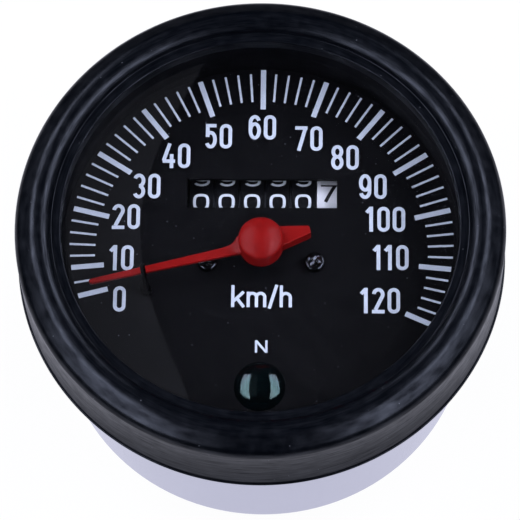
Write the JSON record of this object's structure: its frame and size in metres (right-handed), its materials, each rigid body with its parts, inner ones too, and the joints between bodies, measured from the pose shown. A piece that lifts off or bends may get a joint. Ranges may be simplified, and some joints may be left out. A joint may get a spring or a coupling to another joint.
{
  "type": "motorcycle speedometer",
  "caption": "Round vintage speedometer in a drawn can with a rubber ring: red pointer, drum odometer, neutral lamp, and a worm-driven movement behind the dial.",
  "frame": {"origin": "on the instrument's axis, in the plane of the panel that the rubber ring rests on", "axes": "+Z along the axis, out of the dial; +Y to the top of the dial; +X to its right"},
  "size_m": [0.092, 0.092, 0.0695],
  "materials": {
    "zinc_plated_steel": "bright zinc plating over drawn sheet",
    "black_rubber": "satin moulded rubber",
    "clear_glass": "clear, slightly domed",
    "dial_black": "matt black enamel with white print",
    "pointer_red": "satin signal red",
    "blackened_steel": "blackened",
    "lens_green": "dark translucent green",
    "drum_black": "moulded, white digits",
    "drum_white": "moulded, black digits",
    "steel": "turned and ground",
    "brass": "turned",
    "cast_light_alloy": "die-cast",
    "sheet_aluminium": "spun sheet",
    "magnet_grey": "sintered",
    "gear_nylon": "moulded",
    "black_plastic": "moulded",
    "white_plastic": "moulded",
    "bulb_glass": "clear"
  },
  "bodies": {
    "case": {"can": "zinc_plated_steel", "mount_studs": "zinc_plated_steel", "case_screws": "zinc_plated_steel", "rubber_ring": "black_rubber", "glass": "clear_glass", "dial": "dial_black", "spacer_ring": "dial_black", "stop_pin": "dial_black", "dial_screws": "blackened_steel", "lamp_lens": "lens_green", "spring_stud": "steel", "pillars": "steel", "bridge": "steel", "bridge_screws": "steel", "cross_bracket": "steel", "lay_post": "steel", "drum_axle": "steel", "left_cheek": "steel", "right_cheek": "steel", "cheek_screws": "steel", "carrier_plates": "steel", "carrier_bar": "steel", "spindle_bush": "brass", "drive_nipple": "brass", "base_plate": "cast_light_alloy", "bulb_holders": "black_plastic", "lamp_tube": "white_plastic", "bulbs": "bulb_glass"},
    "drive": {"drive_shaft": "steel", "drive_worm": "steel", "magnet": "magnet_grey"},
    "pointer": {"pointer": "pointer_red", "pointer_spindle": "steel", "speed_cup": "sheet_aluminium", "spring_collet": "brass", "hairspring": "brass"},
    "cross": {"cross_shaft": "steel", "worm_wheel": "gear_nylon", "cross_worm": "steel"},
    "lay": {"lay_shaft": "steel", "lay_wheel": "gear_nylon", "lay_gear": "gear_nylon"},
    "drum_1": {"digit_drum_1": "drum_black"},
    "drum_2": {"digit_drum_2": "drum_black"},
    "drum_3": {"digit_drum_3": "drum_black"},
    "drum_4": {"digit_drum_4": "drum_black"},
    "drum_5": {"digit_drum_5": "drum_black"},
    "drum_6": {"digit_drum_6": "drum_white", "drum_gear": "gear_nylon"}
  },
  "joints": [
    {"name": "pointer_swing", "type": "hinge", "parent": "case", "child": "pointer", "pos_m": [0, 0, 0], "axis": [0, 0, -1], "range_deg": [0, 225], "stiffness_Nm_per_rad": 0.0002, "springref_deg": -11.46, "deforming": ["hairspring"]},
    {"name": "drive_spin", "type": "hinge", "parent": "case", "child": "drive", "pos_m": [0, 0, 0], "axis": [0, 0, -1], "continuous": true},
    {"name": "cross_spin", "type": "hinge", "parent": "case", "child": "cross", "pos_m": [0.0055, 0, -0.029], "axis": [0, 1, 0], "continuous": true},
    {"name": "lay_spin", "type": "hinge", "parent": "case", "child": "lay", "pos_m": [0, 0.0225, -0.02125], "axis": [1, 0, 0], "continuous": true},
    {"name": "drum_6_spin", "type": "hinge", "parent": "case", "child": "drum_6", "pos_m": [0, 0.0115, -0.0105], "axis": [1, 0, 0], "continuous": true},
    {"name": "drum_5_spin", "type": "hinge", "parent": "case", "child": "drum_5", "pos_m": [0, 0.0115, -0.0105], "axis": [1, 0, 0], "continuous": true},
    {"name": "drum_4_spin", "type": "hinge", "parent": "case", "child": "drum_4", "pos_m": [0, 0.0115, -0.0105], "axis": [1, 0, 0], "continuous": true},
    {"name": "drum_3_spin", "type": "hinge", "parent": "case", "child": "drum_3", "pos_m": [0, 0.0115, -0.0105], "axis": [1, 0, 0], "continuous": true},
    {"name": "drum_2_spin", "type": "hinge", "parent": "case", "child": "drum_2", "pos_m": [0, 0.0115, -0.0105], "axis": [1, 0, 0], "continuous": true},
    {"name": "drum_1_spin", "type": "hinge", "parent": "case", "child": "drum_1", "pos_m": [0, 0.0115, -0.0105], "axis": [1, 0, 0], "continuous": true}
  ],
  "couplings": [
    {"joint": "cross_spin", "follows": "drive_spin", "ratio": -0.04},
    {"joint": "lay_spin", "follows": "drive_spin", "ratio": 0.001},
    {"joint": "drum_6_spin", "follows": "drive_spin", "ratio": -0.001},
    {"joint": "drum_5_spin", "follows": "drive_spin", "ratio": -0.0001},
    {"joint": "drum_4_spin", "follows": "drive_spin", "ratio": -0.00001},
    {"joint": "drum_3_spin", "follows": "drive_spin", "ratio": -0.000001},
    {"joint": "drum_2_spin", "follows": "drive_spin", "ratio": -0.0000001},
    {"joint": "drum_1_spin", "follows": "drive_spin", "ratio": -0.00000001}
  ]
}
